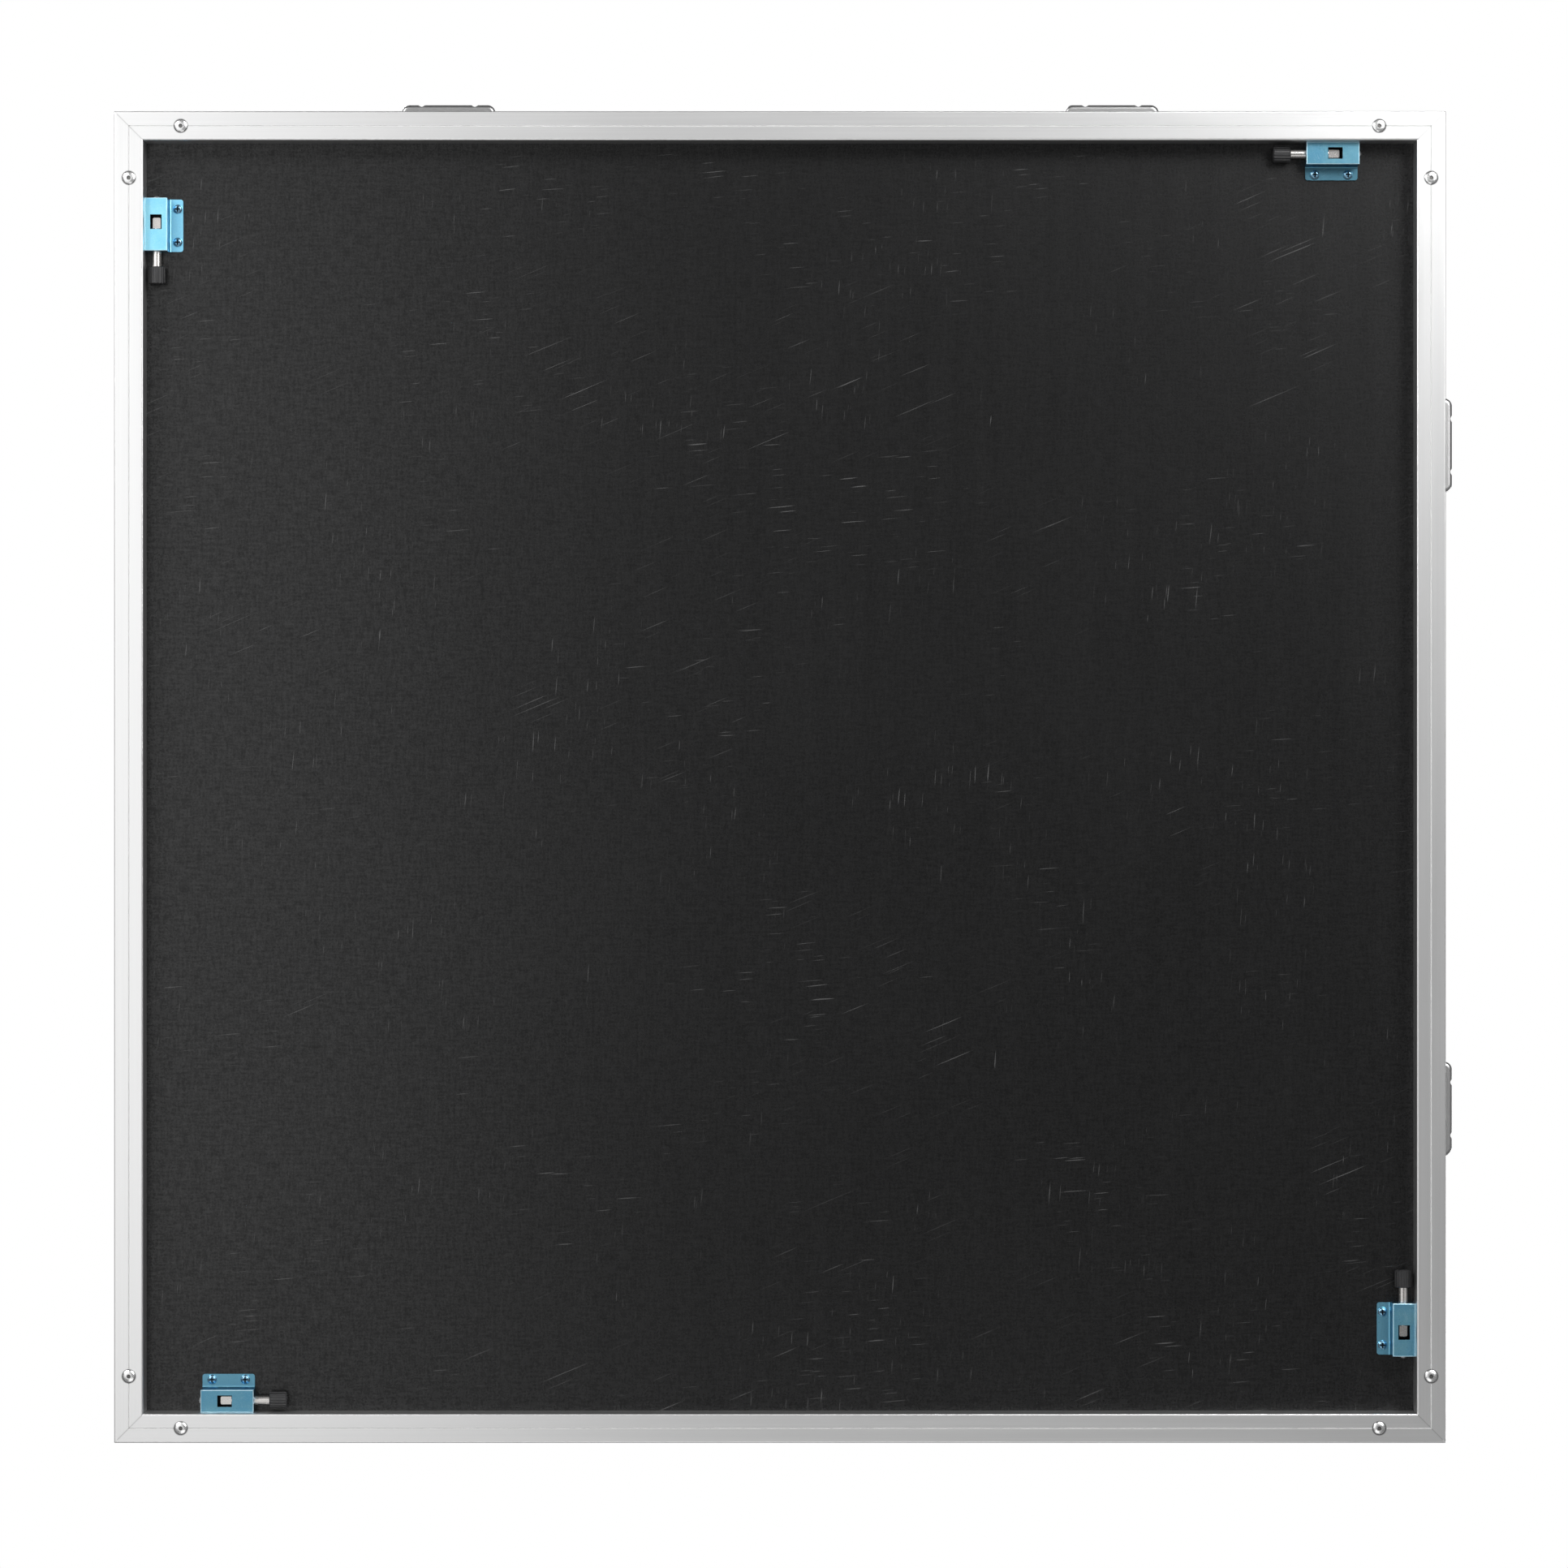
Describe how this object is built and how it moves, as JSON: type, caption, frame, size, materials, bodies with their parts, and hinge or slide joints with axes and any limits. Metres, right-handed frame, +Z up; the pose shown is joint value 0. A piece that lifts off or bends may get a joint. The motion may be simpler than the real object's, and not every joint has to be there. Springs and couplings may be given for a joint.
{
  "type": "stage riser deck",
  "caption": "Square low stage deck: film-faced plywood in a mitred aluminium frame, joining tongues on two sides, spring plunger latches under its corners.",
  "frame": {"origin": "centre of the square frame, on the plane that the eight rivet heads stand on", "axes": "+Z up through the deck surface; front is -Y and right is +X, the two sides with the joining tongues"},
  "size_m": [1.0065, 1.0065, 0.0422],
  "materials": {
    "rail_aluminium": "mill satin anodised",
    "cast_cleat": "die-cast",
    "rivet": "bright",
    "mandrel": "dull",
    "adhesive": "matt",
    "underside_film": "satin phenolic film",
    "plywood": "birch ply",
    "top_film": "anti-slip wire-mesh print",
    "tongue": "satin",
    "latch_housing": "blue-passivated zinc on steel",
    "plunger": "ground",
    "hardware": "zinc plated",
    "spring": "spring wire",
    "knob": "moulded",
    "screw": "bright zinc plated"
  },
  "bodies": {
    "frame": {"front_rail": "rail_aluminium", "right_rail": "rail_aluminium", "back_rail": "rail_aluminium", "left_rail": "rail_aluminium", "front_right_cleat": "cast_cleat", "right_back_cleat": "cast_cleat", "back_left_cleat": "cast_cleat", "left_front_cleat": "cast_cleat", "corner_rivets": "rivet", "rivet_mandrels": "mandrel", "panel_adhesive": "adhesive", "underside_film": "underside_film", "deck_panel": "plywood", "top_film": "top_film", "front_tongue_left": "tongue", "front_tongue_right": "tongue", "right_tongue_front": "tongue", "right_tongue_back": "tongue", "tongue_screws": "screw", "front_latch_housing": "latch_housing", "front_latch_spring": "spring", "front_latch_end_stud": "plunger", "right_latch_housing": "latch_housing", "right_latch_spring": "spring", "right_latch_end_stud": "plunger", "back_latch_housing": "latch_housing", "back_latch_spring": "spring", "back_latch_end_stud": "plunger", "left_latch_housing": "latch_housing", "left_latch_spring": "spring", "left_latch_end_stud": "plunger", "latch_screws": "screw"},
    "front_latch_carrier": {"front_latch_washer": "hardware"},
    "front_latch_plunger": {"front_latch_rod": "plunger", "front_latch_clip": "hardware", "front_latch_knob": "knob"},
    "right_latch_carrier": {"right_latch_washer": "hardware"},
    "right_latch_plunger": {"right_latch_rod": "plunger", "right_latch_clip": "hardware", "right_latch_knob": "knob"},
    "back_latch_carrier": {"back_latch_washer": "hardware"},
    "back_latch_plunger": {"back_latch_rod": "plunger", "back_latch_clip": "hardware", "back_latch_knob": "knob"},
    "left_latch_carrier": {"left_latch_washer": "hardware"},
    "left_latch_plunger": {"left_latch_rod": "plunger", "left_latch_clip": "hardware", "left_latch_knob": "knob"}
  },
  "joints": [
    {"name": "front_latch_pull", "type": "slide", "parent": "frame", "child": "front_latch_carrier", "axis": [-1, 0, 0], "range_m": [0, 0.009], "stiffness_N_per_m": 460, "springref_m": -0.009, "deforming": ["front_latch_spring"]},
    {"name": "front_latch_spin", "type": "hinge", "parent": "front_latch_carrier", "child": "front_latch_plunger", "pos_m": [0.403, -0.4695, 0.0186], "axis": [-1, 0, 0], "continuous": true},
    {"name": "right_latch_pull", "type": "slide", "parent": "frame", "child": "right_latch_carrier", "axis": [0, -1, 0], "range_m": [0, 0.009], "stiffness_N_per_m": 460, "springref_m": -0.009, "deforming": ["right_latch_spring"]},
    {"name": "right_latch_spin", "type": "hinge", "parent": "right_latch_carrier", "child": "right_latch_plunger", "pos_m": [0.4695, 0.403, 0.0186], "axis": [0, -1, 0], "continuous": true},
    {"name": "back_latch_pull", "type": "slide", "parent": "frame", "child": "back_latch_carrier", "axis": [1, 0, 0], "range_m": [0, 0.009], "stiffness_N_per_m": 460, "springref_m": -0.009, "deforming": ["back_latch_spring"]},
    {"name": "back_latch_spin", "type": "hinge", "parent": "back_latch_carrier", "child": "back_latch_plunger", "pos_m": [-0.403, 0.4695, 0.0186], "axis": [1, 0, 0], "continuous": true},
    {"name": "left_latch_pull", "type": "slide", "parent": "frame", "child": "left_latch_carrier", "axis": [0, 1, 0], "range_m": [0, 0.009], "stiffness_N_per_m": 460, "springref_m": -0.009, "deforming": ["left_latch_spring"]},
    {"name": "left_latch_spin", "type": "hinge", "parent": "left_latch_carrier", "child": "left_latch_plunger", "pos_m": [-0.4695, -0.403, 0.0186], "axis": [0, 1, 0], "continuous": true}
  ]
}
